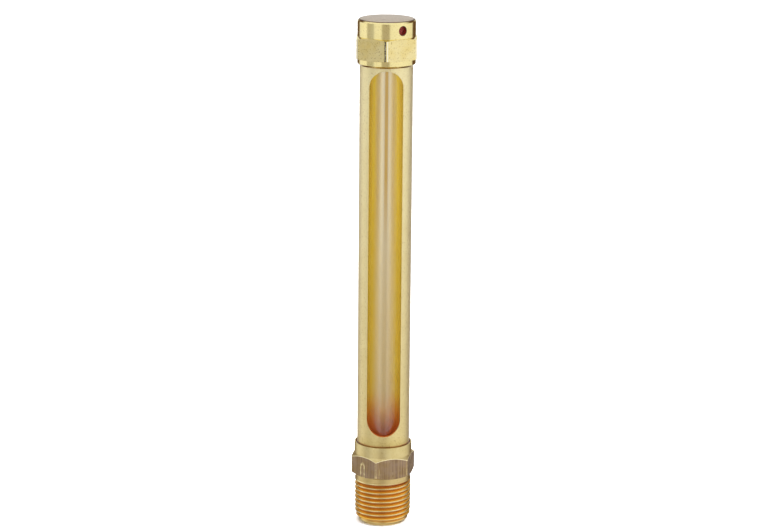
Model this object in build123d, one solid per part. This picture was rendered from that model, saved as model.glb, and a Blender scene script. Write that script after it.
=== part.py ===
"""Vented brass column level gauge: a glass sight tube in a slotted brass shield, in millimetres.

The gauge stands on the end of its pipe thread. +Z points up the column and the window faces -Y.
The origin is the centre of the thread's end face.
"""

import os
from math import radians, sqrt, tan

from build123d import *

# ---- base fitting: 3/8-18 NPT thread, 11/16 in hexagon, round collar -----------------------------
NPT_PITCH = 25.4 / 18
NPT_TAPER = 1 / 16              # change of diameter for each unit of length
NPT_END_RADIUS = 8.33           # over the crests at the end face
NPT_DEPTH = 0.95
NPT_FLAT = 0.18                 # flat at each crest and root
NPT_END_CHAMFER = 0.9
NPT_GROOVES = 8
NPT_FIRST_CREST = 2.15          # middle of the lowest crest
NPT_BLANK_RADIUS = 8.55         # the last crests are cut off flat at the blank's own size
NECK_RADIUS = 8.3
HEX_BOTTOM = 15.2
HEX_TOP = 21.7
HEX_FLATS = 17.46
HEX_CONE = 30                   # degrees from the hexagon's end plane, where its corners are turned
HEX_TURN = 17.4                 # degrees from +X to the first corner
COLLAR_RADIUS = 8.7
COLLAR_TOP = 25.1
COLLAR_EDGE = 0.15
PASSAGE_RADIUS = 4.0            # oil passage through the fitting
GLASS_SEAT = 18.4               # floor of the pocket that carries the base gasket
SEAT_RADIUS = 6.65
SHIELD_SHOULDER = 19.8          # floor of the collar's thread
RECESS_FLOOR = 24.0             # shallow recess in the collar's mouth, which holds the seal
RECESS_RADIUS = 8.3

# ---- 27-per-inch brass-tube threads that hold the shield, drawn plain at their mean size ----------
TUBE_THREAD_RADIUS = 7.71       # male, on both ends of the shield
FEMALE_THREAD_RADIUS = 7.79     # in the collar and the cap, 0.08 clear all round

# ---- shield: 5/8 in tube with a 1.245 mm wall -----------------------------------------------------
TUBE_RADIUS = 7.9375
TUBE_BORE_RADIUS = 6.6925
TUBE_BOTTOM = 19.9
TUBE_TOP = 149.0
LOWER_THREAD_TOP = 24.1
UPPER_THREAD_BOTTOM = 142.6
WINDOW_WIDTH = 10.0
WINDOW_BOTTOM = 28.4
WINDOW_TOP = 140.0

# ---- sight glass and what seals it ----------------------------------------------------------------
GASKET_THICKNESS = 1.2
GASKET_RADIUS = 6.5
GASKET_BORE_RADIUS = 4.75
GLASS_RADIUS = 6.35
GLASS_BORE_RADIUS = 4.75
GLASS_BOTTOM = GLASS_SEAT + GASKET_THICKNESS
GLASS_TOP = 148.1
GLASS_EDGE = 0.3
CAP_GASKET_BOTTOM = GLASS_TOP
WASHER_BOTTOM = CAP_GASKET_BOTTOM + GASKET_THICKNESS
WASHER_THICKNESS = 0.6
WASHER_RADIUS = 7.55
SEAL_BOTTOM = RECESS_FLOOR + 0.05
SEAL_THICKNESS = 0.6
SEAL_RADIUS = 8.25
SEAL_BORE_RADIUS = 7.99
SEAL_EDGE = 0.1

# ---- vent cap -------------------------------------------------------------------------------------
CAP_BOTTOM = 140.9
CAP_TOP = 154.6
CAP_RADIUS = 8.69
CAP_LOWER_CHAMFER = 0.6
CAP_HEX_BOTTOM = 142.9
CAP_HEX_HEIGHT = 6.6
CAP_HEX_FLATS = 17.85
CAP_HEX_CONE = 15
CAP_HEX_TURN = 30               # puts one corner to the front
CAP_TOP_CHAMFER = 0.57
MOUTH_RADIUS = 8.02             # plain bore below the cap's thread
MOUTH_TOP = 142.7
FILTER_POCKET_RADIUS = 7.2
FILTER_POCKET_BOTTOM = 149.95
FILTER_POCKET_TOP = 153.4
RETAINER_THICKNESS = 0.4
RETAINER_BORE_RADIUS = 4.5
VENT_RADIUS = 1.25
VENT_HEIGHT = 151.95
VENT_TURN = -57                 # degrees from +X: 33 degrees to the right of the front


def turned(outline):
    """A solid of revolution about Z from (radius, height) points."""
    corners = [(radius, 0, height) for radius, height in outline]
    return revolve(make_face(Polyline(*corners, close=True)), Axis.Z)


def ring(outer, inner, bottom, thickness, edge=0.0):
    """A flat round ring with its four edges chamfered."""
    top = bottom + thickness
    if not edge:
        return turned([(inner, bottom), (outer, bottom), (outer, top), (inner, top)])
    return turned([
        (inner + edge, bottom),
        (outer - edge, bottom),
        (outer, bottom + edge),
        (outer, top - edge),
        (outer - edge, top),
        (inner + edge, top),
        (inner, top - edge),
        (inner, bottom + edge),
    ])


def turned_hexagon(flats, bottom, height, turn, cone):
    """A bar-stock hexagon with its corners turned off by a cone at each end."""
    corner_radius = flats / sqrt(3)
    drop = (corner_radius - flats / 2) * tan(radians(cone))
    top = bottom + height
    prism = Pos(0, 0, bottom) * extrude(RegularPolygon(corner_radius, 6, rotation=turn), height)
    envelope = turned([
        (0, bottom),
        (flats / 2, bottom),
        (corner_radius, bottom + drop),
        (corner_radius, top - drop),
        (flats / 2, top),
        (0, top),
    ])
    return prism & envelope


def pipe_thread_outline():
    """(radius, height) points up the tapered pipe thread, drawn as closed grooves."""
    half_open = (NPT_PITCH - NPT_FLAT) / 2
    end_radius = NPT_END_RADIUS - NPT_END_CHAMFER
    points = [(end_radius, 0), (NPT_END_RADIUS, NPT_END_CHAMFER)]
    for groove in range(NPT_GROOVES):
        middle = NPT_FIRST_CREST + NPT_PITCH * (groove + 0.5)
        taper_radius = NPT_END_RADIUS + middle * NPT_TAPER / 2
        crest_radius = min(taper_radius, NPT_BLANK_RADIUS)
        root_radius = taper_radius - NPT_DEPTH
        points += [
            (crest_radius, middle - half_open),
            (root_radius, middle - NPT_FLAT / 2),
            (root_radius, middle + NPT_FLAT / 2),
            (crest_radius, middle + half_open),
        ]
    return points


def make_base_fitting():
    """Hex fitting: pipe thread below, collar above, oil passage and glass seat inside."""
    outline = pipe_thread_outline()
    thread_top = outline[-1][1]
    outline += [
        (NECK_RADIUS, thread_top + NPT_FLAT),
        (NECK_RADIUS, HEX_BOTTOM + 1),
        (NECK_RADIUS, HEX_TOP - 1),
        (COLLAR_RADIUS, HEX_TOP - 1),
        (COLLAR_RADIUS, COLLAR_TOP - COLLAR_EDGE),
        (COLLAR_RADIUS - COLLAR_EDGE, COLLAR_TOP),
        (0, COLLAR_TOP),
        (0, 0),
    ]
    blank = turned(outline) + turned_hexagon(
        HEX_FLATS, HEX_BOTTOM, HEX_TOP - HEX_BOTTOM, HEX_TURN, HEX_CONE
    )
    bore = turned([
        (0, -1),
        (PASSAGE_RADIUS, -1),
        (PASSAGE_RADIUS, GLASS_SEAT),
        (SEAT_RADIUS, GLASS_SEAT),
        (SEAT_RADIUS, SHIELD_SHOULDER),
        (FEMALE_THREAD_RADIUS, SHIELD_SHOULDER),
        (FEMALE_THREAD_RADIUS, RECESS_FLOOR),
        (RECESS_RADIUS, RECESS_FLOOR),
        (RECESS_RADIUS, COLLAR_TOP + 1),
        (0, COLLAR_TOP + 1),
    ])
    return blank - bore


def make_shield_tube():
    """Shield: a tube threaded at both ends, with one long round-ended window in front."""
    tube = turned([
        (TUBE_BORE_RADIUS, TUBE_BOTTOM),
        (TUBE_THREAD_RADIUS, TUBE_BOTTOM),
        (TUBE_THREAD_RADIUS, LOWER_THREAD_TOP),
        (TUBE_RADIUS, LOWER_THREAD_TOP),
        (TUBE_RADIUS, UPPER_THREAD_BOTTOM),
        (TUBE_THREAD_RADIUS, UPPER_THREAD_BOTTOM),
        (TUBE_THREAD_RADIUS, TUBE_TOP),
        (TUBE_BORE_RADIUS, TUBE_TOP),
    ])
    window = SlotOverall(WINDOW_TOP - WINDOW_BOTTOM, WINDOW_WIDTH, rotation=90)
    cutter = extrude(Plane.XZ * window, 2 * TUBE_RADIUS)
    return tube - Pos(0, 0, (WINDOW_BOTTOM + WINDOW_TOP) / 2) * cutter


def make_vent_cap():
    """Cap: plain ring, hexagon and round head in one piece, with a blind stepped bore."""
    blank = turned([
        (0, CAP_BOTTOM),
        (CAP_RADIUS - CAP_LOWER_CHAMFER, CAP_BOTTOM),
        (CAP_RADIUS, CAP_BOTTOM + CAP_LOWER_CHAMFER),
        (CAP_RADIUS, CAP_TOP - CAP_TOP_CHAMFER),
        (CAP_RADIUS - CAP_TOP_CHAMFER, CAP_TOP),
        (0, CAP_TOP),
    ]) + turned_hexagon(
        CAP_HEX_FLATS, CAP_HEX_BOTTOM, CAP_HEX_HEIGHT, CAP_HEX_TURN, CAP_HEX_CONE
    )
    bore = turned([
        (0, CAP_BOTTOM - 1),
        (MOUTH_RADIUS, CAP_BOTTOM - 1),
        (MOUTH_RADIUS, MOUTH_TOP),
        (FEMALE_THREAD_RADIUS, MOUTH_TOP),
        (FEMALE_THREAD_RADIUS, FILTER_POCKET_BOTTOM),
        (FILTER_POCKET_RADIUS, FILTER_POCKET_BOTTOM),
        (FILTER_POCKET_RADIUS, FILTER_POCKET_TOP),
        (0, FILTER_POCKET_TOP),
    ])
    wall = CAP_RADIUS - FILTER_POCKET_RADIUS
    drill = Pos(CAP_RADIUS, 0, VENT_HEIGHT) * Rot(0, 90, 0) * Cylinder(VENT_RADIUS, 2 * wall + 1)
    return blank - bore - Rot(0, 0, VENT_TURN) * drill


def make_sight_glass():
    """Clear glass tube with ground ends."""
    length = GLASS_TOP - GLASS_BOTTOM
    return ring(GLASS_RADIUS, GLASS_BORE_RADIUS, GLASS_BOTTOM, length, GLASS_EDGE)


def make_filter_retainer():
    """Thin ring pressed into the cap under the vent filter."""
    return ring(
        FILTER_POCKET_RADIUS, RETAINER_BORE_RADIUS, FILTER_POCKET_BOTTOM, RETAINER_THICKNESS
    )


def make_vent_filter():
    """Porous disc between the retainer and the cap's end wall, behind the vent hole."""
    bottom = FILTER_POCKET_BOTTOM + RETAINER_THICKNESS
    height = FILTER_POCKET_TOP - bottom
    return Pos(0, 0, bottom + height / 2) * Cylinder(FILTER_POCKET_RADIUS, height)


parts = {
    "base_fitting": make_base_fitting(),
    "base_gasket": ring(GASKET_RADIUS, GASKET_BORE_RADIUS, GLASS_SEAT, GASKET_THICKNESS),
    "sight_glass": make_sight_glass(),
    "collar_seal": ring(SEAL_RADIUS, SEAL_BORE_RADIUS, SEAL_BOTTOM, SEAL_THICKNESS, SEAL_EDGE),
    "shield_tube": make_shield_tube(),
    "cap_gasket": ring(GASKET_RADIUS, GASKET_BORE_RADIUS, CAP_GASKET_BOTTOM, GASKET_THICKNESS),
    "thrust_washer": ring(WASHER_RADIUS, GASKET_BORE_RADIUS, WASHER_BOTTOM, WASHER_THICKNESS),
    "filter_retainer": make_filter_retainer(),
    "vent_filter": make_vent_filter(),
    "vent_cap": make_vent_cap(),
}

os.makedirs("parts", exist_ok=True)
for name, solid in parts.items():
    solid.label = name
    export_step(solid, f"parts/{name}.step")
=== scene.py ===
"""Looks of the vented brass column level gauge: a glass sight tube in a slotted brass shield.

Lengths are in millimetres until a mesh is made. +Z is up the column and the window faces -Y.
"""

from math import asin, atan2, ceil, cos, hypot, pi, radians, sin, sqrt, tan

import bmesh
import bpy
import numpy as np
from mathutils import Matrix, Vector


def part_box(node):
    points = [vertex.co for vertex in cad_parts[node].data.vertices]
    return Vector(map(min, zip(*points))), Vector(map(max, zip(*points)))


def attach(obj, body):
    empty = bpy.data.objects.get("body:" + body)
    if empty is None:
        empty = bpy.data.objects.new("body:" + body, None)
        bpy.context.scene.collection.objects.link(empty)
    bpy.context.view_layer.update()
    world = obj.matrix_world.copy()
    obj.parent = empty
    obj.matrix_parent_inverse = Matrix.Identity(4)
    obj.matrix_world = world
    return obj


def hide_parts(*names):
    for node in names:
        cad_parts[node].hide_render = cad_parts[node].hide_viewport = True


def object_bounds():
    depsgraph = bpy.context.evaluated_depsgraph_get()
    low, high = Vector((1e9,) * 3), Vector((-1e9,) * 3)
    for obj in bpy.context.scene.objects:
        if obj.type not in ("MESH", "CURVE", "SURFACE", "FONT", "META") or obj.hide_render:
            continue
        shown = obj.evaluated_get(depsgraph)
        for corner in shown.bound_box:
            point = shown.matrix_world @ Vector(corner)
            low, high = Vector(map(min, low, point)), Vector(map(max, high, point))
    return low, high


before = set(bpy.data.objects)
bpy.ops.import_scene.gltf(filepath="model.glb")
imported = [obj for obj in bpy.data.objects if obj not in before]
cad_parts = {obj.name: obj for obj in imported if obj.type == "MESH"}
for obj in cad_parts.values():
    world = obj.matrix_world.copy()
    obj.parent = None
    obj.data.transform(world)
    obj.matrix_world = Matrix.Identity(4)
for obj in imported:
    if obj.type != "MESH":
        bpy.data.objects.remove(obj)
cad_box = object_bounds()

MM = 0.001
FRONT = -pi / 2                 # the direction of the window, as an angle from +X
WELD = 0.001                    # points closer than this are one point
SHARP = 32                      # edges sharper than this angle, in degrees, are left crisp


def span(name):
    """Lowest and highest point of a CAD node, in millimetres."""
    low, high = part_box(name)
    return low.z / MM, high.z / MM


BASE_BOTTOM, COLLAR_TOP = span("base_fitting")
TUBE_BOTTOM, TUBE_TOP = span("shield_tube")
CAP_BOTTOM, CAP_TOP = span("vent_cap")

# ---- base fitting ---------------------------------------------------------------------------------
NPT_PITCH = 25.4 / 18
NPT_TAPER = 1 / 16
NPT_END_RADIUS = 8.33
NPT_DEPTH = 0.95
NPT_FLAT = 0.11                 # share of the pitch that is flat at a crest or a root
NPT_TOP = 13.5
NPT_BLANK_RADIUS = 8.55
NPT_FIRST_CREST = 2.15          # height of the lowest whole crest in front
NPT_LEAD_RADIUS = 6.8
NPT_LEAD = 3.0                  # height of the rounded lead at the thread's start
NPT_RUNOUT = 0.45               # height over which the last groove runs out
NECK_RADIUS = 8.3
NECK_STEP = 0.35                # height over which the blank narrows to the neck
BASE_HEX_BOTTOM = 15.2
BASE_HEX_TOP = 21.7
BASE_HEX_FLATS = 17.46
BASE_HEX_CONE = 30
BASE_HEX_TURN = 17.4
BASE_HEX_EDGE = 0.3             # radius of the rounded corners
RUB_TURN = BASE_HEX_TURN - 150  # the flat with the rubbed arch
RUB_SPRING = 18.3               # height where the arch starts to curve
RUB_RISE = 1.6
RUB_HALF_WIDTH = 0.95
RUB_SHIFT = 0.4                 # from the flat's middle, towards the left
BASE_REDDER = (12, 24)          # heights between which the turned faces redden downwards
COLLAR_RADIUS = 8.7
COLLAR_EDGE = 0.15
PASSAGE_RADIUS = 4.0
GLASS_SEAT = 18.4
SEAT_RADIUS = 6.65
SHIELD_SHOULDER = 19.8
RECESS_FLOOR = 24.0
RECESS_RADIUS = 8.3

# ---- 27-per-inch threads --------------------------------------------------------------------------
TUBE_PITCH = 25.4 / 27
TUBE_THREAD_DEPTH = 0.45
TUBE_THREAD_FLAT = 0.22
TUBE_THREAD_RUNOUT = 0.5
TUBE_THREAD_LEAD = 0.6          # height over which a male thread starts
FEMALE_ROOT_RADIUS = 7.99
FEMALE_MINOR_RADIUS = FEMALE_ROOT_RADIUS - TUBE_THREAD_DEPTH
FLANK_ROWS = (0.17, 0.25, 0.33, 0.42)   # where a thread's flank has rows of points, in pitches

# ---- shield ---------------------------------------------------------------------------------------
TUBE_RADIUS = 7.9375
TUBE_BORE_RADIUS = 6.6925
LOWER_THREAD_TOP = 24.1
UPPER_THREAD_BOTTOM = 142.6
WINDOW_HALF = 5.0
WINDOW_BOTTOM = 28.4
WINDOW_TOP = 140.0
WINDOW_EDGE = 0.09              # bevel at each edge of the window
TUBE_DEEPER = (20, 130)         # heights between which the tube's tone deepens downwards
BORE_GLOSSIER = (60, 100)       # heights between which the bore gets glossier upwards
FOOT_SHADE_END = (26, 40)            # heights over which the painted red reflection and shade at the bore's foot end
BAND_HALF = 4.6                 # half-width of the pale band of painted reflection down the back of the bore
BAND_BOTTOM = 26.0
BAND_DROP = 17.0                # height over which its lower end narrows to a point
BAND_PALER = (35, 85)           # heights between which it gets paler upwards
BAND_CRISPER = (85, 120)        # heights between which its edges get crisper upwards
LINE_START = (85, 105)          # heights over which the painted golden reflection line in the band starts

# ---- cap ------------------------------------------------------------------------------------------
CAP_RADIUS = 8.69
CAP_LOWER_CHAMFER = 0.6
CAP_HEX_BOTTOM = 142.9
CAP_HEX_TOP = 149.5
CAP_HEX_FLATS = 17.85
CAP_HEX_CONE = 15
CAP_HEX_TURN = 30
CAP_HEX_EDGE = 0.35
CAP_TOP_CHAMFER = 0.57
CAP_LIP = 0.2                   # width of the lip round the cap's end, painted dark as shade
HEAD_ROWS = 12                  # rows of points up the head's wall, where the vent hole is cut
MOUTH_RADIUS = 8.02
MOUTH_TOP = 142.7
POCKET_RADIUS = 7.2
POCKET_BOTTOM = 149.95
POCKET_TOP = 153.4
VENT_RADIUS = 1.25
VENT_HEIGHT = 151.95
VENT_TURN = radians(-57)
VENT_EDGE = 0.12                # half the width and depth of the countersink
BREAK = 0.1                     # small edge break on turned corners

# ---- rings, glass and filter ----------------------------------------------------------------------
RINGS = {                       # radius of the bore, radius of the rounded edges
    "base_gasket": (4.75, 0.15),
    "cap_gasket": (4.75, 0.15),
    "thrust_washer": (4.75, 0.08),
    "collar_seal": (7.99, 0.1),
    "filter_retainer": (4.5, 0.08),
    "sight_glass": (4.75, 0.3),
}
FILTER_EDGE = 0.3
FILTER_GAP = 0.01               # round the filter, in its pocket

GOLD = (0.82, 0.66, 0.26)       # brass colour shared by the cap's flats and the bores


# ===================================================================================================
# Mesh code
# ===================================================================================================

def ring_angles(count, turn=0.0):
    """Evenly spaced angles round the axis."""
    return turn + np.arange(count) * 2 * pi / count


def hexagon_angles(turn, edge, flats, steps=34):
    """Angles round the axis, closer together at a hexagon's rounded corners."""
    corner = edge_half_angle(flats, edge)
    close = np.array([0, corner / 3, 2 * corner / 3, corner])
    between = np.linspace(corner, pi / 3 - corner, steps + 1)[1:]
    sector = np.concatenate([close, between, [pi / 3 - 2 * corner / 3, pi / 3 - corner / 3]])
    return np.concatenate([radians(turn) + side * pi / 3 + sector for side in range(6)])


def edge_half_angle(flats, edge):
    """Half the angle that a rounded hexagon corner takes up, seen from the axis."""
    centre = flats / sqrt(3) - edge / cos(pi / 6)
    return atan2(edge * sin(pi / 6), centre + edge * cos(pi / 6))


def hexagon_radius(angles, turn, flats, edge):
    """Distance from the axis to a hexagon with rounded corners, at each angle."""
    off = (angles - radians(turn) + pi / 6) % (pi / 3) - pi / 6
    flat = (flats / 2) / np.cos(pi / 6 - np.abs(off))
    centre = flats / sqrt(3) - edge / cos(pi / 6)
    across = np.clip(edge ** 2 - (centre * np.sin(off)) ** 2, 0, None)
    round_corner = centre * np.cos(off) + np.sqrt(across)
    return np.where(np.abs(off) < edge_half_angle(flats, edge), round_corner, flat)


def lathe(angles, outline):
    """Rows of points round the axis. A radius or height is a number, or one number per angle."""
    rows = []
    for radius, height in outline:
        radius = np.broadcast_to(radius, angles.shape)
        height = np.broadcast_to(height, angles.shape)
        rows.append(np.stack([radius * np.cos(angles), radius * np.sin(angles), height], axis=-1))
    return np.array(rows), 0


def thread_depth(phase, flat):
    """Depth of a thread, 0 to 1, at a phase of 0 to 1 where 0 is the middle of a crest."""
    away = np.abs((phase + 0.5) % 1 - 0.5)
    return np.clip((away - flat / 2) / (0.5 - flat), 0, 1)


def screw(angles, pitch, low, high, radius, depth, flat, crest, ends, fades):
    """A right-hand thread's surface from low to high, with rows that follow its helix.

    radius(height) is the crest line, crest is a crest's height at the angle 0, and the surface
    rounds off to the plain radii in ends over the heights in fades.
    """
    near_flat = np.array([0, 0.8, 1.35]) * flat / 2
    steps = np.sort(np.concatenate([near_flat, FLANK_ROWS, 0.5 - near_flat]))
    steps = np.concatenate([steps, 1 - steps[-2:0:-1]])
    per_turn = len(steps)
    turns = ceil((high - low) / pitch) + 3
    turn_of_row = np.concatenate([steps + turn for turn in range(turns)])
    around = (angles - angles[0]) / (2 * pi)
    base = low - pitch + (crest - low + pitch * angles[0] / (2 * pi)) % pitch - pitch
    height = base + pitch * (turn_of_row[:, None] + around[None, :])
    height = np.clip(height, low, high)
    phase = (height - crest) / pitch - angles[None, :] / (2 * pi)
    surface = radius(height) - depth * thread_depth(phase, flat)
    for end, fade, away in ((0, fades[0], height - low), (1, fades[1], high - height)):
        share = np.sin(np.clip(away / fade, 0, 1) * pi / 2)
        surface = ends[end] + (surface - ends[end]) * share
    points = np.stack([surface * np.cos(angles), surface * np.sin(angles), height], axis=-1)
    return points, per_turn


def mesh_object(name, patches, materials, sharp=SHARP):
    """One mesh from patches of (points, rows that the seam climbs) and a material number each."""
    vertices, faces, numbers = [], [], []
    start = 0
    for (points, climb), number in patches:
        rows, columns = points.shape[:2]
        index = start + np.arange(rows * columns).reshape(rows, columns)
        beside = np.roll(index, -1, axis=1)
        quads = np.stack([index[:-1], beside[:-1], beside[1:], index[1:]], axis=-1)
        if climb:
            seam = np.stack([
                index[:-1 - climb, -1], index[climb:-1, 0], index[climb + 1:, 0], index[1:-climb, -1],
            ], axis=-1)
            quads = np.concatenate([quads[:, :-1].reshape(-1, 4), seam])
        quads = quads.reshape(-1, 4)
        vertices.append(points.reshape(-1, 3))
        faces.append(quads)
        numbers.append(np.full(len(quads), number))
        start += rows * columns
    mesh = bpy.data.meshes.new(name)
    mesh.from_pydata((np.concatenate(vertices) * MM).tolist(), [], np.concatenate(faces).tolist())
    for material in materials:
        mesh.materials.append(material)
    mesh.polygons.foreach_set("material_index", np.concatenate(numbers).astype(np.int32))
    work = bmesh.new()
    work.from_mesh(mesh)
    bmesh.ops.remove_doubles(work, verts=work.verts, dist=WELD * MM)
    bmesh.ops.dissolve_degenerate(work, dist=WELD * MM / 10, edges=work.edges)
    bmesh.ops.recalc_face_normals(work, faces=work.faces)
    work.to_mesh(mesh)
    work.free()
    piece = bpy.data.objects.new(name, mesh)
    bpy.context.scene.collection.objects.link(piece)
    shade(piece, sharp)
    return piece


def skin(name, patches, body, materials, sharp=SHARP):
    """A piece's mesh, which rides a body and has a material slot."""
    piece = mesh_object(name, patches, materials, sharp)
    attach(piece, body)
    return piece


def shade(piece, sharp):
    """Smooth shading, with edges sharper than an angle in degrees left crisp."""
    piece.data.polygons.foreach_set("use_smooth", [True] * len(piece.data.polygons))
    piece.data.set_sharp_from_angle(angle=radians(sharp))


# ===================================================================================================
# Materials
# ===================================================================================================

class Shader:
    """A node tree with short ways to add and link nodes. Its lengths are in millimetres."""

    def __init__(self, name):
        self.material = bpy.data.materials.new(name)
        self.material.use_nodes = True
        self.tree = self.material.node_tree
        self.surface = self.tree.nodes["Principled BSDF"]
        self.place = self.add("TexCoord", output="Object")

    def add(self, kind, inputs=None, output=0, **settings):
        """A new node of a kind, with its settings, its inputs given or linked, and one output."""
        made = self.tree.nodes.new("ShaderNode" + kind)
        for key, value in settings.items():
            setattr(made, key, value)
        for key, value in (inputs or {}).items():
            self.give(made.inputs[key], value)
        return made.outputs[output]

    def give(self, socket, value):
        """Links an output to a socket, or sets the socket's own value."""
        if isinstance(value, bpy.types.NodeSocket):
            self.tree.links.new(value, socket)
        else:
            socket.default_value = value

    def set(self, **values):
        """Gives the surface shader its values: Base_Color stands for the socket Base Color."""
        for key, value in values.items():
            self.give(self.surface.inputs[key.replace("_", " ")], value)

    def tone(self):
        """The colour that reaches the surface so far."""
        return self.surface.inputs["Base Color"].links[0].from_socket

    def math(self, operation, first, second=0.0, third=0.0):
        """A math node's result."""
        return self.add("Math", {0: first, 1: second, 2: third}, operation=operation)

    def ramp(self, value, low, high, low_result=0.0, high_result=1.0):
        """value moved from one range to another and held there."""
        inputs = {"Value": value, 1: low, 2: high, 3: low_result, 4: high_result}
        return self.add("MapRange", inputs, clamp=True)

    def mix(self, share, first, second, blend="MIX"):
        """Two colours mixed. A colour is a socket, or three numbers."""
        made = self.tree.nodes.new("ShaderNodeMix")
        made.data_type = "RGBA"
        made.blend_type = blend
        self.give(made.inputs[0], share)
        for number, colour in ((6, first), (7, second)):
            self.give(made.inputs[number], (*colour, 1) if isinstance(colour, tuple) else colour)
        return made.outputs[2]

    def stretched(self, along, round_about):
        """Object coordinates scaled along and across the axis, in features for each metre."""
        scale = (round_about, round_about, along)
        return self.add("Mapping", {"Vector": self.place, "Scale": scale})

    def noise(self, scale, detail=2.0, roughness=0.5, place=None):
        """Noise from 0 to 1, with a scale in features for each metre."""
        inputs = {
            "Vector": place or self.place, "Scale": scale, "Detail": detail, "Roughness": roughness,
        }
        return self.add("TexNoise", inputs)

    def bump(self, height, distance):
        """Normals from a height map that stands as high as distance."""
        return self.add("Bump", {"Height": height, "Distance": distance * MM})

    def coordinate(self, axis):
        """The object's own X, Y or Z coordinate."""
        metres = self.add("SeparateXYZ", {"Vector": self.place}, output=axis)
        return self.math("DIVIDE", metres, MM)

    def height(self):
        """Height above the floor."""
        return self.coordinate("Z")

    def radius(self):
        """Distance from the axis."""
        flat = self.add("VectorMath", {0: self.place, 1: (1, 1, 0)}, operation="MULTIPLY")
        metres = self.add("VectorMath", {0: flat}, output="Value", operation="LENGTH")
        return self.math("DIVIDE", metres, MM)

    def turn(self):
        """Angle round the axis, in radians from +X."""
        return self.math("ARCTAN2", self.coordinate("Y"), self.coordinate("X"))

    def length(self, first, second):
        """Length of a vector with two parts."""
        squares = self.math("MULTIPLY_ADD", first, first, self.math("MULTIPLY", second, second))
        return self.math("SQRT", squares)


def brass(name, colour, other_colour, roughness, spread=0.06, lines=0.0, grain=0.0, specks=0.0):
    """Bare brass: mottled between two colours, with lathe lines, satin grain and dark specks."""
    look = Shader(name)
    tone = look.mix(look.ramp(look.noise(260, 4, 0.6), 0.35, 0.68), colour, other_colour)
    if specks:
        spots = look.ramp(look.noise(2600, 1, 0.4), 0.60, 0.72, 0.0, specks)
        tone = look.mix(spots, tone, (0.42, 0.29, 0.11))
    look.set(Base_Color=tone, Metallic=1.0)
    look.set(Roughness=look.ramp(look.noise(900, 3), 0.3, 0.7, roughness - spread, roughness + spread))
    turned = look.noise(1.0, 1, place=look.stretched(9000, 60))
    relief = look.math("MULTIPLY_ADD", turned, lines, look.math("MULTIPLY", look.noise(3800, 2), grain))
    look.set(Normal=look.bump(relief, 0.02))
    return look


def shield_brass():
    """Satin drawn tube: pale and finely speckled, deeper in tone towards the base and under the window,
    with a brown line of painted shade and reflection where it enters the collar."""
    look = brass("drawn_brass_satin", (0.90, 0.80, 0.46), (0.86, 0.75, 0.41), roughness=0.48,
                 spread=0.05, lines=0.15, grain=0.5, specks=0.45)
    deeper = look.ramp(look.height(), *TUBE_DEEPER, 0.55, 0.0)
    tone = look.mix(deeper, look.tone(), (0.74, 0.62, 0.30), "MULTIPLY")
    foot = look.ramp(look.height(), WINDOW_BOTTOM - 2.5, WINDOW_BOTTOM, 1.0, 0.0)
    tone = look.mix(foot, tone, (0.93, 0.90, 0.77), "MULTIPLY")
    # painted shade and reflection: a brown line in the gap where the tube enters the collar
    shade_and_reflection = look.math("MULTIPLY", look.ramp(look.height(), COLLAR_TOP - 0.6, COLLAR_TOP - 0.3),
                      look.ramp(look.height(), COLLAR_TOP + 0.15, COLLAR_TOP + 0.5, 0.85, 0.0))
    look.set(Base_Color=look.mix(shade_and_reflection, tone, (0.60, 0.27, 0.08)))
    look.set(Coat_Weight=0.35, Coat_Roughness=0.4, Sheen_Weight=0.2, Sheen_Roughness=0.4)
    return look.material


def turned_brass():
    """Bright turned faces of the base fitting, a little redder down at the pipe thread."""
    look = brass("turned_brass_bright", (0.76, 0.64, 0.32), (0.69, 0.56, 0.25), roughness=0.38,
                 spread=0.05, lines=0.30, grain=0.15, specks=0.25)
    redder = look.ramp(look.height(), *BASE_REDDER, 1.0, 0.0)
    look.set(Base_Color=look.mix(redder, look.tone(), (0.88, 0.78, 0.68), "MULTIPLY"))
    return look.material


def cap_brass():
    """The cap's turned head and lower ring, brighter than the base, with a painted brown reflection on
    the lower edge.
    """
    look = brass("turned_brass_cap", (0.90, 0.78, 0.38), (0.87, 0.74, 0.33), roughness=0.13,
                 spread=0.04, lines=0.18, grain=0.08, specks=0.3)
    # painted reflection: the lower edge turned brown
    edge = look.ramp(look.height(), CAP_BOTTOM + 0.2, CAP_BOTTOM + 0.55, 0.85, 0.0)
    look.set(Base_Color=look.mix(edge, look.tone(), (0.42, 0.24, 0.08)))
    return look.material


def cap_flat_brass():
    """The cap's hexagon flats: duller pitted bar stock, corners paled by wear and a painted highlight,
    and nicks beside one.
    """
    look = brass("bar_brass_cap", (0.88, 0.76, 0.39), GOLD, roughness=0.33, grain=1.2, specks=0.65)
    corner = look.math("PINGPONG", look.math("SUBTRACT", look.turn(), radians(CAP_HEX_TURN)), pi / 6)
    # the corners paled by wear and by a painted highlight
    wear_and_highlight = look.ramp(corner, radians(1.6), radians(2.6), 1.0, 0.0)
    tone = look.mix(wear_and_highlight, look.tone(), (1.0, 0.97, 0.86))
    past_front = look.math("SUBTRACT", look.turn(), FRONT)
    near = look.math("MULTIPLY", look.ramp(past_front, radians(-4.2), radians(-3.6)),
                     look.ramp(past_front, radians(-1.4), radians(-0.9), 1.0, 0.0))
    nicks = look.math("MULTIPLY", near, look.ramp(look.noise(1700, 2, 0.7), 0.40, 0.52, 0.25, 1.0))
    look.set(Base_Color=look.mix(nicks, tone, (0.05, 0.035, 0.02)))
    return look.material


def bore_brass():
    """Bored and inner faces, and the plain brass rings."""
    return brass("bored_brass", GOLD, (0.74, 0.55, 0.20), roughness=0.28, lines=0.3, grain=0.3,
                 specks=0.2).material


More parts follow.
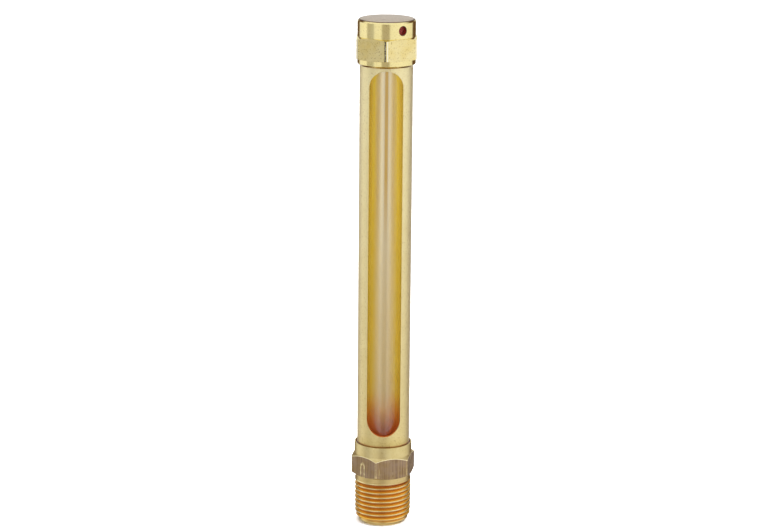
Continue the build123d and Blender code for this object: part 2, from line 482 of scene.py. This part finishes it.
def window_brass():
    """The shield's inside, seen through the glass: gold, with a painted reflection as a paler oval band
    down the back, a painted golden reflection line down its middle in the upper half, and painted red
    reflection and shade at the foot."""
    look = brass("drawn_brass_bore", (1.0, 0.85, 0.28), (1.0, 0.82, 0.22), roughness=0.24,
                 spread=0.04, lines=0.2, grain=0.2, specks=0.1)
    # painted reflection: a pale band down the back of the bore, paler upwards
    reflection_band = painted_back_reflection(look)
    pale = look.mix(look.ramp(look.height(), *BAND_PALER), (0.88, 0.72, 0.34), (0.99, 0.87, 0.57))
    tone = look.mix(reflection_band, look.tone(), pale)
    # painted reflection: a golden line down the middle of the band
    off_line = look.math("ABSOLUTE", look.math("SUBTRACT", look.coordinate("X"), 0.2))
    gold_line_reflection = look.math("MULTIPLY", look.ramp(off_line, 0.45, 0.75, 0.9, 0.0),
                     look.ramp(look.height(), *LINE_START))
    tone = look.mix(look.math("MULTIPLY", gold_line_reflection, reflection_band), tone, (0.92, 0.58, 0.09))
    # painted red reflection of the gasket, and painted shade, at the bore's foot
    shade_and_reflection = look.mix(reflection_band, (0.95, 0.27, 0.10), (1.0, 0.56, 0.20))
    tone = look.mix(look.ramp(look.height(), *FOOT_SHADE_END, 1.0, 0.0), tone, shade_and_reflection)
    look.set(Base_Color=tone, Roughness=look.ramp(look.height(), *BORE_GLOSSIER, 0.50, 0.34))
    return look.material


def painted_back_reflection(look):
    """Share of the painted reflection, a pale band down the bore's back, 0 to 1. Its lower end is half
    an oval, and its edges are crisper in the upper half."""
    wide = look.math("DIVIDE", look.coordinate("X"), BAND_HALF)
    below = look.math("MAXIMUM", look.math("SUBTRACT", BAND_BOTTOM + BAND_DROP, look.height()), 0.0)
    oval = look.length(wide, look.math("DIVIDE", below, BAND_DROP))
    inner_edge = look.ramp(look.height(), *BAND_CRISPER, 0.40, 0.86)
    at_back = look.ramp(look.coordinate("Y"), 0.0, 1.0)
    return look.math("MULTIPLY", look.ramp(oval, inner_edge, 1.0, 1.0, 0.0), at_back)


def thread_brass():
    """Cut pipe thread: pale crests, grooves painted orange as bounce light, painted shade in the roots,
    under each crest and in the last groove under the neck, and a gold lead.
    """
    look = brass("threaded_brass", (0.91, 0.84, 0.48), (0.81, 0.72, 0.36), roughness=0.24,
                 spread=0.05, grain=0.25, specks=0.3)
    crest = look.math("MULTIPLY_ADD", look.height(), NPT_TAPER / 2, NPT_END_RADIUS)
    depth = look.math("SUBTRACT", look.math("MINIMUM", crest, NPT_BLANK_RADIUS), look.radius())
    above_lead = look.ramp(look.height(), NPT_LEAD / 3, NPT_LEAD * 0.6, 0.2, 1.0)
    tone = look.mix(above_lead, (0.64, 0.53, 0.20), look.tone())
    # painted bounce light: the grooves turn orange as if lit by the flanks round them
    groove = look.math("MULTIPLY", look.ramp(depth, 0.09, 0.22), above_lead)
    tone = look.mix(groove, tone, (1.0, 0.57, 0.08))
    # painted shade deep in the thread's roots
    root = look.math("MULTIPLY", look.ramp(depth, 0.68, 0.92), above_lead)
    tone = look.mix(root, tone, (0.66, 0.28, 0.06))
    # painted shadow in the last groove, under the neck
    last = look.ramp(look.height(), NPT_TOP - 1.0, NPT_TOP - 0.6)
    tone = look.mix(look.math("MULTIPLY", last, groove), tone, (0.50, 0.15, 0.05))
    # painted shade under each crest, on the faces that look downwards
    slope = look.add("SeparateXYZ", {"Vector": look.add("TexCoord", output="Normal")}, output="Z")
    tone = look.mix(look.ramp(slope, -0.86, -0.70, 0.5, 0.0), tone, (0.22, 0.09, 0.03))
    look.set(Base_Color=tone, Roughness=look.ramp(groove, 0.0, 1.0, 0.26, 0.36))
    look.set(Metallic=look.ramp(groove, 0.0, 1.0, 1.0, 0.88))
    return look.material


def base_flat_brass():
    """The base's hexagon flats: mauve-brown mill tarnish with fine lines down the bar's length, rubbed
    bright in an arch, paled at the corners by wear and a painted highlight, and a painted highlight
    along the edge under the cone."""
    look = Shader("bar_brass_tarnished")
    lines = look.noise(1.0, 3, 0.65, look.stretched(35, 5200))
    patches = look.noise(330, 3, 0.55)
    tone = look.mix(look.ramp(lines, 0.34, 0.66), (0.14, 0.078, 0.036), (0.38, 0.25, 0.105))
    tone = look.mix(look.ramp(patches, 0.42, 0.62, 0.0, 0.5), tone, (0.26, 0.18, 0.125))
    rubbed = look.ramp(look.noise(1.0, 4, 0.7, look.stretched(90, 900)), 0.62, 0.70, 0.0, 0.8)
    tone = look.mix(rubbed, tone, (0.72, 0.55, 0.26))
    tone = look.mix(rub_mark(look), tone, (0.74, 0.61, 0.30))
    past_corner = look.math("SUBTRACT", look.turn(), radians(BASE_HEX_TURN))
    corner = look.ramp(look.math("PINGPONG", past_corner, pi / 6), radians(0.8), radians(3.0), 1.0, 0.0)
    # the corners paled by wear and by a painted highlight
    wear_and_highlight = look.math("MULTIPLY", corner, look.ramp(look.noise(900, 3), 0.45, 0.65, 0.1, 0.45))
    tone = look.mix(wear_and_highlight, tone, (0.78, 0.62, 0.30))
    # painted highlight along the edge under the cone
    out = look.math("SUBTRACT", look.radius(), BASE_HEX_FLATS / 2)
    cone = look.math("MULTIPLY_ADD", out, -tan(radians(BASE_HEX_CONE)), BASE_HEX_TOP)
    below_cone = look.math("SUBTRACT", cone, look.height())
    tone = look.mix(look.ramp(below_cone, 0.12, 0.22, 0.85, 0.0), tone, (0.98, 0.88, 0.52))
    look.set(Base_Color=tone, Metallic=look.ramp(patches, 0.3, 0.7, 0.9, 0.65))
    look.set(Roughness=look.ramp(lines, 0.3, 0.7, 0.52, 0.38), Coat_Weight=0.4, Coat_Roughness=0.35)
    look.set(Normal=look.bump(lines, 0.03))
    return look.material


def rub_mark(look):
    """Share of the bright arch rubbed into one flat's tarnish, 0 to 1."""
    turn = look.math("SUBTRACT", look.turn(), radians(RUB_TURN))
    across = look.math("MULTIPLY", look.radius(), look.math("SINE", turn))
    out = look.math("MULTIPLY", look.radius(), look.math("COSINE", turn))
    over = look.math("MAXIMUM", look.math("SUBTRACT", look.height(), RUB_SPRING), 0.0)
    wide = look.math("DIVIDE", look.math("ADD", across, RUB_SHIFT), RUB_HALF_WIDTH)
    size = look.length(wide, look.math("DIVIDE", over, RUB_RISE))
    size = look.math("MULTIPLY_ADD", look.noise(1500, 2), 0.35, size)
    arch = look.math("MULTIPLY", look.ramp(size, 0.62, 0.82), look.ramp(size, 1.05, 1.25, 1.0, 0.0))
    arch = look.math("MULTIPLY", arch, look.ramp(look.noise(1300, 2), 0.38, 0.58, 0.25, 0.85))
    on_flat = look.ramp(out, BASE_HEX_FLATS / 2 - 0.3, BASE_HEX_FLATS / 2 - 0.1)
    return look.math("MULTIPLY", arch, on_flat)


def cap_top_brass():
    """The cap's sawn end: matte, mauve-grey, with fine turning marks."""
    look = Shader("sawn_brass_end")
    patches = look.noise(420, 4, 0.6)
    fine = look.noise(3200, 2)
    tone = look.mix(look.ramp(patches, 0.3, 0.7), (0.25, 0.205, 0.165), (0.345, 0.29, 0.23))
    tone = look.mix(look.ramp(fine, 0.46, 0.60, 0.0, 0.6), tone, (0.55, 0.47, 0.35))
    outwards = look.add("CombineXYZ", {"X": look.math("MULTIPLY", look.radius(), 5.2)})
    rings = look.noise(1.0, 1, place=outwards)
    look.set(Base_Color=tone, Metallic=0.75, Roughness=look.ramp(fine, 0.3, 0.7, 0.38, 0.52))
    look.set(Normal=look.bump(look.math("ADD", rings, fine), 0.012))
    return look.material


def lip_shade_brass():
    """Painted shade: the dark lip round the cap's end and round the vent hole."""
    return brass("painted_shade_lip", (0.13, 0.08, 0.055), (0.30, 0.19, 0.11), roughness=0.42,
                 grain=0.5).material


def vent_reflection_brass():
    """The vent hole's wall, with the red of the filter behind it painted on as a reflection."""
    return brass("painted_reflection_vent", (0.48, 0.09, 0.07), (0.58, 0.13, 0.09), roughness=0.5,
                 grain=0.5).material


def clear_glass():
    """Clear glass with faint smears."""
    look = Shader("clear_tube_glass")
    look.set(Base_Color=(1.0, 1.0, 1.0, 1), Transmission_Weight=1.0, IOR=1.47)
    smears = look.noise(1.0, 3, 0.6, look.stretched(60, 240))
    look.set(Roughness=look.ramp(smears, 0.45, 0.75, 0.0, 0.05))
    return look.material


def rubber(name, dark, light, scale, smooth, rough):
    """Moulded rubber, mottled between two colours."""
    look = Shader(name)
    grain = look.noise(scale, 3)
    look.set(Base_Color=look.mix(look.ramp(grain, 0.3, 0.7), dark, light))
    look.set(Roughness=look.ramp(grain, 0.3, 0.7, smooth, rough), Normal=look.bump(grain, 0.03))
    return look.material


def red_rubber():
    """Brick-red gasket rubber."""
    return rubber("red_gasket_rubber", (0.20, 0.035, 0.02), (0.32, 0.065, 0.04), 2600, 0.5, 0.68)


def dark_rubber():
    """Brown-red seal rubber, oiled and aged."""
    return rubber("aged_seal_rubber", (0.09, 0.025, 0.012), (0.20, 0.06, 0.025), 2200, 0.4, 0.6)


def red_felt():
    """Brick-red porous filter felt."""
    look = Shader("red_filter_felt")
    fibres = look.noise(3400, 5, 0.7)
    tone = look.mix(look.ramp(fibres, 0.35, 0.65), (0.16, 0.02, 0.015), (0.36, 0.06, 0.045))
    look.set(Base_Color=tone, Roughness=0.95, Sheen_Weight=0.3, Normal=look.bump(fibres, 0.12))
    return look.material


def floor_white():
    """Plain white studio floor."""
    look = Shader("studio_floor")
    tone = look.mix(look.noise(30, 2), (0.93, 0.935, 0.95), (0.94, 0.945, 0.96))
    look.set(Base_Color=tone, Roughness=0.9, Specular_IOR_Level=0.1)
    return look.material


# ===================================================================================================
# Pieces
# ===================================================================================================

def hexagon_patches(angles, bottom, top, turn, flats, cone, edge, rows=8):
    """The lower cone, the flats and the upper cone of a turned hexagon."""
    radius = hexagon_radius(angles, turn, flats, edge)
    drop = (radius - flats / 2) * tan(radians(cone))
    inner = np.minimum(radius, flats / 2)
    low, high = bottom + drop, top - drop
    lower = lathe(angles, [(inner, bottom), (radius, low)])
    upper = lathe(angles, [(radius, high), (inner, top)])
    middle = lathe(angles, [(radius, low + (high - low) * row / rows) for row in range(rows + 1)])
    return lower, middle, upper


def female_thread(angles, low, high, low_radius, high_radius):
    """The 27-per-inch thread inside the base or the cap."""
    return screw(
        angles, TUBE_PITCH, low, high, lambda height: FEMALE_ROOT_RADIUS,
        TUBE_THREAD_DEPTH, TUBE_THREAD_FLAT, 0.0, (low_radius, high_radius),
        (TUBE_THREAD_RUNOUT, TUBE_THREAD_RUNOUT),
    )


def make_base_fitting():
    """Pipe thread, hexagon and collar, with the bore and the collar's thread inside."""
    angles = hexagon_angles(BASE_HEX_TURN, BASE_HEX_EDGE, BASE_HEX_FLATS)
    crest = NPT_FIRST_CREST - NPT_PITCH * FRONT / (2 * pi)
    pipe = screw(
        angles, NPT_PITCH, BASE_BOTTOM, NPT_TOP,
        lambda height: np.minimum(NPT_END_RADIUS + height * NPT_TAPER / 2, NPT_BLANK_RADIUS),
        NPT_DEPTH, NPT_FLAT, crest, (NPT_LEAD_RADIUS, NPT_BLANK_RADIUS), (NPT_LEAD, NPT_RUNOUT),
    )
    hex_low, hex_flats, hex_high = hexagon_patches(
        angles, BASE_HEX_BOTTOM, BASE_HEX_TOP, BASE_HEX_TURN, BASE_HEX_FLATS, BASE_HEX_CONE,
        BASE_HEX_EDGE,
    )
    inner = np.minimum(hexagon_radius(angles, BASE_HEX_TURN, BASE_HEX_FLATS, BASE_HEX_EDGE),
                       BASE_HEX_FLATS / 2)
    end_face = lathe(angles, [
        (PASSAGE_RADIUS, BASE_BOTTOM + 3 * BREAK),
        (PASSAGE_RADIUS + 3 * BREAK, BASE_BOTTOM),
        (NPT_LEAD_RADIUS, BASE_BOTTOM),
    ])
    neck = lathe(angles, [
        (NPT_BLANK_RADIUS, NPT_TOP),
        (NPT_BLANK_RADIUS - BREAK / 2, NPT_TOP + BREAK),
        (NECK_RADIUS, NPT_TOP + NECK_STEP),
        (NECK_RADIUS, BASE_HEX_BOTTOM - BREAK),
        (NECK_RADIUS + BREAK, BASE_HEX_BOTTOM),
        (inner, BASE_HEX_BOTTOM),
    ])
    collar = lathe(angles, [
        (inner, BASE_HEX_TOP),
        (COLLAR_RADIUS, BASE_HEX_TOP + BREAK / 2),
        (COLLAR_RADIUS, COLLAR_TOP - COLLAR_EDGE),
        (COLLAR_RADIUS - COLLAR_EDGE / 3, COLLAR_TOP - COLLAR_EDGE / 3),
        (COLLAR_RADIUS - COLLAR_EDGE, COLLAR_TOP),
        (RECESS_RADIUS + BREAK / 2, COLLAR_TOP),
        (RECESS_RADIUS, COLLAR_TOP - BREAK / 2),
        (RECESS_RADIUS, RECESS_FLOOR),
        (FEMALE_ROOT_RADIUS, RECESS_FLOOR),
    ])
    seat = lathe(angles, [
        (FEMALE_MINOR_RADIUS, SHIELD_SHOULDER),
        (SEAT_RADIUS, SHIELD_SHOULDER),
        (SEAT_RADIUS, GLASS_SEAT),
        (PASSAGE_RADIUS, GLASS_SEAT),
        (PASSAGE_RADIUS, BASE_BOTTOM + 3 * BREAK),
    ])
    thread = female_thread(
        angles, SHIELD_SHOULDER, RECESS_FLOOR, FEMALE_MINOR_RADIUS, FEMALE_ROOT_RADIUS,
    )
    patches = [
        (end_face, 0), (pipe, 1), (neck, 0), (hex_low, 0), (hex_flats, 2), (hex_high, 0),
        (collar, 0), (thread, 3), (seat, 3),
    ]
    materials = [turned_brass(), thread_brass(), base_flat_brass(), bore_brass()]
    piece = skin("base_fitting_body", patches, "base", materials)
    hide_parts("base_fitting")


def window_rows():
    """Half-widths and heights up the window's edge: exact, and on an outline one bevel wider."""
    low, high = WINDOW_BOTTOM + WINDOW_HALF, WINDOW_TOP - WINDOW_HALF
    turns = [radians(-90 + 5 * step) for step in range(18)]
    rows = [(turn, low) for turn in turns]
    rows += [(0.0, low + (high - low) * step / 30) for step in range(31)]
    rows += [(-turn, high) for turn in reversed(turns)]
    wide = WINDOW_HALF + WINDOW_EDGE
    outer = [(wide * cos(turn), height + wide * sin(turn)) for turn, height in rows]
    exact = [(WINDOW_HALF * cos(turn), height + WINDOW_HALF * sin(turn)) for turn, height in rows]
    return outer, exact


def window_patch(columns):
    """The tube's wall over the window's height: outside, bevelled window edges, and inside."""
    def arc(half, height, radius, count):
        start = asin(min(half / radius, 1))
        turn = FRONT + start + (2 * pi - 2 * start) * np.linspace(0, 1, count)
        heights = np.full_like(turn, height)
        return np.stack([radius * np.cos(turn), radius * np.sin(turn), heights], axis=-1)

    loops = []
    for (wide, wide_height), (half, height) in zip(*window_rows()):
        outside = arc(wide, wide_height, TUBE_RADIUS, columns + 1)
        inside = arc(wide, wide_height, TUBE_BORE_RADIUS, columns + 1)[::-1]
        near = arc(half, height, TUBE_RADIUS - WINDOW_EDGE, 2)
        far = arc(half, height, TUBE_BORE_RADIUS + WINDOW_EDGE, 2)
        loops.append(np.concatenate([outside, near[1:], far[1:], inside, far[:1], near[:1]]))
    return np.array(loops), 0


def make_shield():
    """Slotted tube with a thread at each end."""
    columns = 180
    angles = ring_angles(columns, FRONT)
    root = TUBE_RADIUS - TUBE_THREAD_DEPTH
    lead = root - BREAK

    def male(low, high, ends, fades):
        return screw(
            angles, TUBE_PITCH, low, high, lambda height: TUBE_RADIUS,
            TUBE_THREAD_DEPTH, TUBE_THREAD_FLAT, 0.0, ends, fades,
        )

    window_low, window_high = WINDOW_BOTTOM - WINDOW_EDGE, WINDOW_TOP + WINDOW_EDGE
    fades = (TUBE_THREAD_LEAD, TUBE_THREAD_RUNOUT)
    lower_thread = male(TUBE_BOTTOM, LOWER_THREAD_TOP, (lead, TUBE_RADIUS), fades)
    upper_thread = male(UPPER_THREAD_BOTTOM, TUBE_TOP, (TUBE_RADIUS, lead), fades[::-1])
    lower = lathe(angles, [(TUBE_RADIUS, LOWER_THREAD_TOP), (TUBE_RADIUS, window_low)])
    upper = lathe(angles, [(TUBE_RADIUS, window_high), (TUBE_RADIUS, UPPER_THREAD_BOTTOM)])
    bottom_end = lathe(angles, [
        (lead, TUBE_BOTTOM), (TUBE_BORE_RADIUS + BREAK, TUBE_BOTTOM),
        (TUBE_BORE_RADIUS, TUBE_BOTTOM + BREAK), (TUBE_BORE_RADIUS, window_low),
    ])
    top_end = lathe(angles, [
        (TUBE_BORE_RADIUS, window_high), (TUBE_BORE_RADIUS, TUBE_TOP - BREAK),
        (TUBE_BORE_RADIUS + BREAK, TUBE_TOP), (lead, TUBE_TOP),
    ])
    patches = [
        (bottom_end, 0), (lower_thread, 2), (lower, 0), (window_patch(columns), 0), (upper, 0),
        (upper_thread, 2), (top_end, 0),
    ]
    materials = [shield_brass(), window_brass(), bore_brass()]
    piece = skin("slotted_shield", patches, "shield", materials)
    paint_bore(piece, (TUBE_RADIUS + TUBE_BORE_RADIUS) / 2, 1)
    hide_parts("shield_tube")


def polish_corners(piece, flat_number, number, turn, flats, edge):
    """Gives the rounded corners of a hexagon another material than its flats."""
    corner = edge_half_angle(flats, edge)
    for face in piece.data.polygons:
        if face.material_index == flat_number:
            angle = atan2(face.center.y, face.center.x) - radians(turn)
            if abs((angle + pi / 6) % (pi / 3) - pi / 6) < corner:
                face.material_index = number


def paint_bore(piece, radius, number):
    """Gives the faces nearer to the axis than a radius another of the piece's materials."""
    for face in piece.data.polygons:
        if hypot(face.center.x, face.center.y) < radius * MM:
            face.material_index = number


def make_cap():
    """Ring, hexagon and head in one piece, with the blind bore and the vent hole."""
    angles = hexagon_angles(CAP_HEX_TURN, CAP_HEX_EDGE, CAP_HEX_FLATS)
    hex_low, hex_flats, hex_high = hexagon_patches(
        angles, CAP_HEX_BOTTOM, CAP_HEX_TOP, CAP_HEX_TURN, CAP_HEX_FLATS, CAP_HEX_CONE, CAP_HEX_EDGE
    )
    inner = np.minimum(hexagon_radius(angles, CAP_HEX_TURN, CAP_HEX_FLATS, CAP_HEX_EDGE),
                       CAP_HEX_FLATS / 2)
    rim = lathe(angles, [
        (FEMALE_ROOT_RADIUS, MOUTH_TOP),
        (MOUTH_RADIUS, MOUTH_TOP - BREAK),
        (MOUTH_RADIUS, CAP_BOTTOM + BREAK),
        (MOUTH_RADIUS + BREAK / 2, CAP_BOTTOM),
        (CAP_RADIUS - CAP_LOWER_CHAMFER, CAP_BOTTOM),
        (CAP_RADIUS, CAP_BOTTOM + CAP_LOWER_CHAMFER),
        (CAP_RADIUS, CAP_HEX_BOTTOM - BREAK / 2),
        (inner, CAP_HEX_BOTTOM),
    ])
    wall = np.linspace(CAP_HEX_TOP + BREAK / 2, CAP_TOP - CAP_TOP_CHAMFER, HEAD_ROWS)
    head = lathe(angles, [(inner, CAP_HEX_TOP)] + [(CAP_RADIUS, height) for height in wall] + [
        (CAP_RADIUS - CAP_TOP_CHAMFER + CAP_LIP, CAP_TOP - CAP_LIP),
    ])
    top_radius = CAP_RADIUS - CAP_TOP_CHAMFER - CAP_LIP / 2
    lip = lathe(angles, [
        (CAP_RADIUS - CAP_TOP_CHAMFER + CAP_LIP, CAP_TOP - CAP_LIP),
        (CAP_RADIUS - CAP_TOP_CHAMFER, CAP_TOP - CAP_LIP / 5),
        (top_radius, CAP_TOP),
    ])
    top = lathe(angles, [(top_radius, CAP_TOP), (0, CAP_TOP)])
    pocket = lathe(angles, [
        (FEMALE_MINOR_RADIUS, POCKET_BOTTOM),
        (POCKET_RADIUS, POCKET_BOTTOM),
        (POCKET_RADIUS, POCKET_TOP),
        (0, POCKET_TOP),
    ])
    thread = female_thread(
        angles, MOUTH_TOP, POCKET_BOTTOM, FEMALE_ROOT_RADIUS, FEMALE_MINOR_RADIUS,
    )
    patches = [
        (rim, 0), (hex_low, 0), (hex_flats, 1), (hex_high, 0), (head, 0), (top, 2), (pocket, 3),
        (thread, 3), (lip, 4),
    ]
    materials = [cap_brass(), cap_flat_brass(), cap_top_brass(), bore_brass(), lip_shade_brass()]
    piece = skin("vent_cap_body", patches, "cap", materials)
    polish_corners(piece, 1, 0, CAP_HEX_TURN, CAP_HEX_FLATS, CAP_HEX_EDGE)
    drill_vent(piece)
    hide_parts("vent_cap")


def drill_vent(piece):
    """Cuts the vent hole, with a small countersink, through the head's wall."""
    around = ring_angles(40)
    start, end = POCKET_RADIUS - 1.5, CAP_RADIUS + 1
    stations = [
        (0, start), (VENT_RADIUS, start), (VENT_RADIUS, CAP_RADIUS - 2 * VENT_EDGE),
        (VENT_RADIUS + 2 * VENT_EDGE, CAP_RADIUS), (VENT_RADIUS + 3 * VENT_EDGE, end), (0, end),
    ]
    rows = [
        np.stack([np.full_like(around, out), radius * np.cos(around), radius * np.sin(around)], axis=-1)
        for radius, out in stations
    ]
    wall, countersink = np.array(rows[:3]), np.array(rows[2:])
    # the hole's wall takes the painted red reflection, and the countersink the painted shade
    cutter = mesh_object("vent_drill", [((wall, 0), 0), ((countersink, 0), 1)],
                         [vent_reflection_brass(), lip_shade_brass()])
    cutter.matrix_world = Matrix.Translation((0, 0, VENT_HEIGHT * MM)) @ Matrix.Rotation(
        VENT_TURN, 4, "Z")
    cut = piece.modifiers.new("vent", "BOOLEAN")
    cut.operation = "DIFFERENCE"
    cut.solver = "EXACT"
    cut.material_mode = "TRANSFER"
    cut.object = cutter
    bpy.context.view_layer.update()
    evaluated = piece.evaluated_get(bpy.context.evaluated_depsgraph_get())
    mesh = bpy.data.meshes.new_from_object(evaluated)
    piece.modifiers.remove(cut)
    piece.data = mesh
    bpy.data.objects.remove(cutter)
    shade(piece, SHARP)


def flat_ring(name, node, body, material):
    """A flat ring with rounded edges in the place of a CAD ring."""
    low, high = span(node)
    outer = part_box(node)[1].x / MM
    inner, edge = RINGS[node]
    outline = []
    for radius, height, start in (
        (outer - edge, low + edge, -90), (outer - edge, high - edge, 0),
        (inner + edge, high - edge, 90), (inner + edge, low + edge, 180),
    ):
        for step in range(4):
            turn = radians(start + 30 * step)
            outline.append((radius + edge * cos(turn), height + edge * sin(turn)))
    outline.append(outline[0])
    ring = lathe(ring_angles(128), outline)
    piece = skin(name, [(ring, 0)], body, [material], sharp=40)
    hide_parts(node)
    return piece


def make_inner_pieces():
    """Gaskets, washer, seal, retainer, glass and filter."""
    gasket = red_rubber()
    flat_ring("base_gasket_ring", "base_gasket", "base", gasket)
    flat_ring("cap_gasket_ring", "cap_gasket", "cap_rings", gasket)
    flat_ring("collar_seal_ring", "collar_seal", "seal_ring", dark_rubber())
    flat_ring("thrust_washer_ring", "thrust_washer", "cap_rings", bore_brass())
    flat_ring("retainer_ring", "filter_retainer", "cap", bore_brass())
    glass = flat_ring("glass_tube", "sight_glass", "base", clear_glass())
    glass.visible_glossy = False
    make_filter()


def make_filter():
    """A felt disc with chamfered edges."""
    low, high = span("vent_filter")
    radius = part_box("vent_filter")[1].x / MM - FILTER_GAP
    disc = lathe(ring_angles(96), [
        (0, low),
        (radius - FILTER_EDGE, low),
        (radius, low + FILTER_EDGE),
        (radius, high - FILTER_EDGE),
        (radius - FILTER_EDGE, high),
        (0, high),
    ])
    piece = skin("filter_disc", [(disc, 0)], "cap", [red_felt()])
    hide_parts("vent_filter")


# ===================================================================================================
# Studio
# ===================================================================================================

CAMERA_DISTANCE = 800
CAMERA_ELEVATION = radians(13.8)
CAMERA_LENS = 126.3
CAMERA_ROLL = radians(0.49)
AIM_SIDE = -1.4                 # the camera looks at a point this far from the axis
AIM_RISE = 2.43                 # and this far above the middle of the object's height
WALL_WARMTH = 0.4               # the darker a wall, the warmer its brown: bright ones are white
FLOOR_RADIUS = 4000
FLOOR_GAP = 0.05                # the floor lies this far under the end face
WORLD_LIGHT = 2.0               # the walls' colours are divided by this: a colour ramp ends at 1
CEILING_TONE = (0.52, 0.53, 0.55, 1)
CEILING_SLOPE = (0.60, 0.85)    # heights on the unit sphere between which walls turn to ceiling

# Brightness of the studio's walls round the object, by angle from the camera's side, + to the right
WALLS = [
    (-180, 1.00), (-166, 0.80), (-152, 0.14), (-136, 0.14), (-128, 0.95), (-86, 1.05), (-80, 0.55),
    (-54, 0.60), (-48, 0.95), (-22, 1.00), (-16, 0.52), (9, 0.52), (15, 0.97), (60, 1.05),
    (116, 0.95), (124, 0.14), (150, 0.14), (166, 0.80), (180, 1.00),
]


def make_floor():
    """A wide round floor under the object."""
    disc = lathe(ring_angles(96), [(0, -FLOOR_GAP), (FLOOR_RADIUS, -FLOOR_GAP)])
    floor = mesh_object("studio_floor", [(disc, 0)], [floor_white()])
    floor.visible_glossy = False


def make_world():
    """A studio with bright and dark walls round the object, which the brass reflects."""
    world = bpy.data.worlds.new("studio")
    bpy.context.scene.world = world
    world.use_nodes = True
    tree = world.node_tree
    tree.nodes.clear()

    def add(kind, **settings):
        made = tree.nodes.new("ShaderNode" + kind)
        for key, value in settings.items():
            setattr(made, key, value)
        return made

    def link(source, target):
        tree.links.new(source, target)

    place = add("TexCoord")
    parts = add("SeparateXYZ")
    link(place.outputs["Generated"], parts.inputs[0])
    back = add("Math", operation="MULTIPLY")
    link(parts.outputs["Y"], back.inputs[0])
    back.inputs[1].default_value = -1
    turn = add("Math", operation="ARCTAN2")
    link(parts.outputs["X"], turn.inputs[0])
    link(back.outputs[0], turn.inputs[1])
    share = add("MapRange")
    link(turn.outputs[0], share.inputs["Value"])
    share.inputs[1].default_value = -pi
    share.inputs[2].default_value = pi
    walls = add("ValToRGB")
    link(share.outputs[0], walls.inputs["Fac"])
    stops = walls.color_ramp.elements
    while len(stops) > 1:
        stops.remove(stops[-1])
    for number, (angle, bright) in enumerate(WALLS):
        place_on_ramp = (angle + 180) / 360
        stop = stops[0] if number == 0 else stops.new(place_on_ramp)
        stop.position = place_on_ramp
        warm = min(1, WALL_WARMTH + bright)
        red = bright / WORLD_LIGHT
        stop.color = (red, red * warm, red * warm ** 2, 1)
    ceiling = add("MapRange")
    link(parts.outputs["Z"], ceiling.inputs["Value"])
    ceiling.inputs[1].default_value = CEILING_SLOPE[0]
    ceiling.inputs[2].default_value = CEILING_SLOPE[1]
    sky = add("Mix", data_type="RGBA")
    link(ceiling.outputs[0], sky.inputs[0])
    link(walls.outputs["Color"], sky.inputs[6])
    sky.inputs[7].default_value = CEILING_TONE
    light = add("Background")
    light.inputs["Strength"].default_value = WORLD_LIGHT
    link(sky.outputs[2], light.inputs["Color"])
    result = add("OutputWorld")
    link(light.outputs[0], result.inputs["Surface"])


def aimed(location, target, roll=0.0):
    """A matrix at location that looks at target."""
    turn = (Vector(target) - Vector(location)).to_track_quat("-Z", "Y").to_matrix().to_4x4()
    return Matrix.Translation(location) @ turn @ Matrix.Rotation(roll, 4, "Z")


def add_light(name, location, target, width, power):
    """A soft square studio light that no glossy surface shows. Places are in metres."""
    data = bpy.data.lights.new(name, "AREA")
    data.shape = "SQUARE"
    data.size = width
    data.energy = power
    light = bpy.data.objects.new(name, data)
    bpy.context.scene.collection.objects.link(light)
    light.matrix_world = aimed(location, target)
    light.visible_glossy = False


def make_camera():
    """The main view: straight on, from a little above."""
    low, high = cad_box
    middle = (low.z + high.z) / 2
    aim = Vector((AIM_SIDE * MM, 0, middle + AIM_RISE * MM))
    back = Vector((0, -cos(CAMERA_ELEVATION), sin(CAMERA_ELEVATION))) * CAMERA_DISTANCE * MM
    data = bpy.data.cameras.new("camera")
    data.lens = CAMERA_LENS
    data.sensor_width = 36
    data.clip_start = 0.01
    data.clip_end = 50
    camera = bpy.data.objects.new("camera", data)
    bpy.context.scene.collection.objects.link(camera)
    camera.matrix_world = aimed(aim + back, aim, CAMERA_ROLL)
    bpy.context.scene.camera = camera


make_base_fitting()
make_shield()
make_cap()
make_inner_pieces()
make_floor()
make_world()
add_light("key", location=(0.9, -0.5, 1.3), target=(0, 0, 0.05), width=0.7, power=22)
add_light("overhead", location=(-0.1, 0.3, 1.8), target=(0, 0, 0), width=1.6, power=45)
make_camera()
bpy.context.scene.view_settings.view_transform = "Standard"
